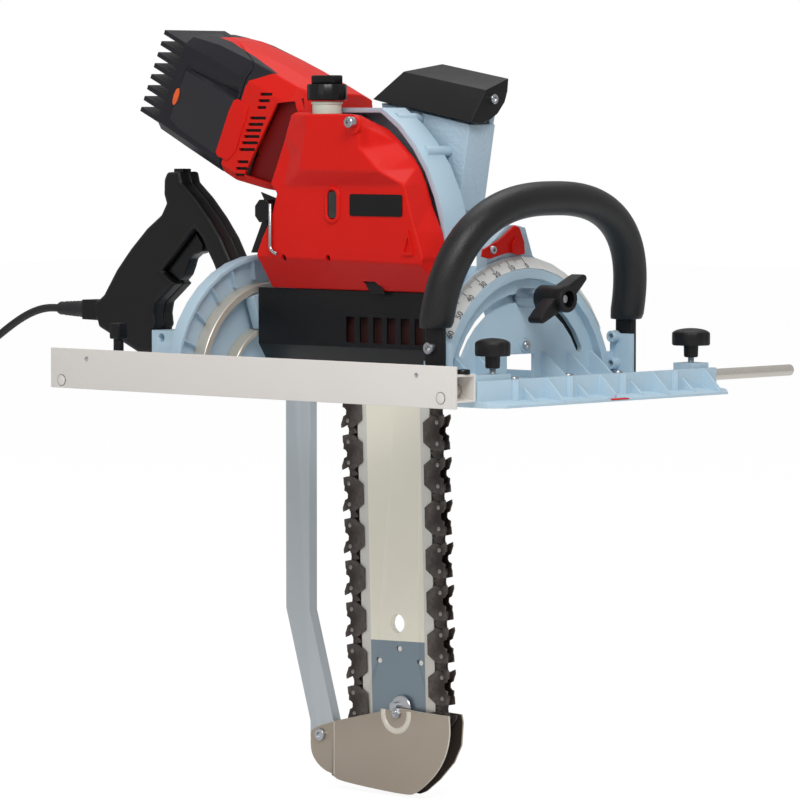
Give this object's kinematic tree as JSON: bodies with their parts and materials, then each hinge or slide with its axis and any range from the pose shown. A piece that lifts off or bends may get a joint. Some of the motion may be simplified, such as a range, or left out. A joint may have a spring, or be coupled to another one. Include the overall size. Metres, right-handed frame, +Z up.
{
  "type": "carpentry chain saw",
  "caption": "Portable carpentry saw with a chain bar plunging through a sole plate, a tilting saw unit between two toothed segments, a cross fence, a bow handle and a rear handle.",
  "frame": {"origin": "On the tilt axis in the underside of the sole plate, below the front tilt segment", "axes": "+X is the cutting direction, +Y points away from the fence, +Z is up from the sole"},
  "size_m": [1.098, 0.554, 0.8049],
  "materials": {
    "blue": "pale blue-grey cast light metal, satin",
    "red": "red moulded housing, semi-gloss",
    "charcoal": "charcoal moulded housing, fine texture",
    "black": "black moulded plastic, fine texture",
    "rubber": "black soft rubber",
    "steel": "bright turned and zinc-plated steel",
    "strut": "bright drawn steel bar",
    "chain": "dark oiled chain steel with worn edges",
    "cream": "cream to grey coated bar steel",
    "rail": "warm white coated rail",
    "scale": "white printed scale band",
    "guard": "brownish sheet steel",
    "glass": "clear oil sight glass",
    "label": "black label sheet, bare",
    "copper": "copper windings",
    "orange": "orange moulded cap"
  },
  "bodies": {
    "base": {"base_plate": "blue", "front_segment": "blue", "angle_scale": "scale", "rear_segment": "blue", "outer_guide_ring": "steel", "inner_guide_ring": "steel", "handle_bracket": "blue", "handle_shell_near": "black", "handle_shell_far": "black", "bow_strap_near": "black", "bow_strap_far": "black", "bow_grip": "rubber", "sole_indicator": "red", "cord_boot": "rubber", "cord": "rubber", "cord_coil": "rubber", "plug": "rubber"},
    "fence": {"fence_rail": "rail", "fence_rod_front": "steel", "fence_rod_rear": "steel"},
    "saw_unit": {"gear_housing": "blue", "chip_chute": "blue", "sprocket_cover": "red", "lower_guard": "black", "motor_front_shell": "red", "motor_rear_shell": "charcoal", "brush_cap": "orange", "field_coils": "copper", "oil_filler_neck": "cream", "oil_sight_glass": "glass", "label_plate": "label", "guide_bar": "cream", "saw_chain": "chain", "nose_guard_near": "guard", "nose_guard_far": "guard", "nose_guard_spacer": "guard", "guard_strut": "strut", "nose_bolt": "steel", "strut_pivot_screw": "steel", "tilt_pointer": "red", "front_carrier": "blue", "rear_carrier": "blue", "tilt_clamp_bolt": "steel", "bar_stud_front": "steel", "bar_stud_rear": "steel", "side_knob": "black"},
    "front_near_knob": {"front_near_knob": "black"},
    "front_far_knob": {"front_far_knob": "black"},
    "rear_near_knob": {"rear_near_knob": "black"},
    "drive_sprocket": {"drive_sprocket": "steel"},
    "idler_gear": {"idler_gear": "steel"},
    "counter_shaft": {"counter_shaft": "steel"},
    "armature": {"armature": "steel"},
    "nose_roller": {"nose_roller": "steel"},
    "wing_knob": {"wing_knob": "black"},
    "oil_cap": {"oil_cap": "black"},
    "hex_key": {"hex_key": "steel"},
    "chip_hood": {"chip_hood": "black"},
    "trigger": {"trigger": "black"},
    "lock_off_button": {"lock_off_button": "black"}
  },
  "joints": [
    {"name": "fence_slide", "type": "slide", "parent": "base", "child": "fence", "axis": [0, 1, 0], "range_m": [-0.14, 0.002]},
    {"name": "front_near_knob_turn", "type": "hinge", "parent": "base", "child": "front_near_knob", "pos_m": [0.075, -0.138, 0], "axis": [0, 0, 1], "continuous": true},
    {"name": "front_far_knob_turn", "type": "hinge", "parent": "base", "child": "front_far_knob", "pos_m": [0.075, 0.17, 0], "axis": [0, 0, 1], "continuous": true},
    {"name": "rear_near_knob_turn", "type": "hinge", "parent": "base", "child": "rear_near_knob", "pos_m": [-0.461, -0.138, 0], "axis": [0, 0, 1], "continuous": true},
    {"name": "tilt", "type": "hinge", "parent": "base", "child": "saw_unit", "pos_m": [0, 0, 0], "axis": [1, 0, 0], "range_deg": [0, 60]},
    {"name": "sprocket_spin", "type": "hinge", "parent": "saw_unit", "child": "drive_sprocket", "pos_m": [-0.1908, 0, 0.1418], "axis": [0, 1, 0], "continuous": true},
    {"name": "idler_spin", "type": "hinge", "parent": "saw_unit", "child": "idler_gear", "pos_m": [-0.226, 0, 0.172], "axis": [0, 1, 0], "continuous": true},
    {"name": "counter_spin", "type": "hinge", "parent": "saw_unit", "child": "counter_shaft", "pos_m": [-0.238, 0, 0.209], "axis": [0, 1, 0], "continuous": true},
    {"name": "armature_spin", "type": "hinge", "parent": "saw_unit", "child": "armature", "pos_m": [-0.304, 0.02, 0.2384], "axis": [0.9135, 0, -0.4067], "continuous": true},
    {"name": "nose_roller_spin", "type": "hinge", "parent": "saw_unit", "child": "nose_roller", "pos_m": [-0.1775, 0, -0.333], "axis": [0, 1, 0], "continuous": true},
    {"name": "wing_knob_turn", "type": "hinge", "parent": "saw_unit", "child": "wing_knob", "pos_m": [0, 0, 0.101], "axis": [1, 0, 0], "continuous": true},
    {"name": "oil_cap_turn", "type": "hinge", "parent": "saw_unit", "child": "oil_cap", "pos_m": [-0.242, -0.045, 0], "axis": [0, 0, 1], "continuous": true},
    {"name": "hex_key_slide", "type": "slide", "parent": "saw_unit", "child": "hex_key", "axis": [0, 0, 1], "range_m": [0, 0.05]},
    {"name": "hood_swing", "type": "hinge", "parent": "saw_unit", "child": "chip_hood", "pos_m": [-0.095, 0.07, 0.29], "axis": [-0.986, 0, 0.1666], "range_deg": [0, 45]},
    {"name": "trigger_slide", "type": "slide", "parent": "base", "child": "trigger", "axis": [-0.7071, 0, 0.7071], "range_m": [0, 0.005], "stiffness_N_per_m": 900, "springref_m": -0.002},
    {"name": "lock_off_slide", "type": "slide", "parent": "base", "child": "lock_off_button", "axis": [0, 0, -1], "range_m": [0, 0.0025], "stiffness_N_per_m": 900, "springref_m": -0.001}
  ],
  "couplings": [
    {"joint": "idler_spin", "follows": "sprocket_spin", "ratio": -1.1163},
    {"joint": "counter_spin", "follows": "sprocket_spin", "ratio": 1.5},
    {"joint": "armature_spin", "follows": "sprocket_spin", "ratio": 3.29},
    {"joint": "nose_roller_spin", "follows": "sprocket_spin", "ratio": 0.6667}
  ]
}
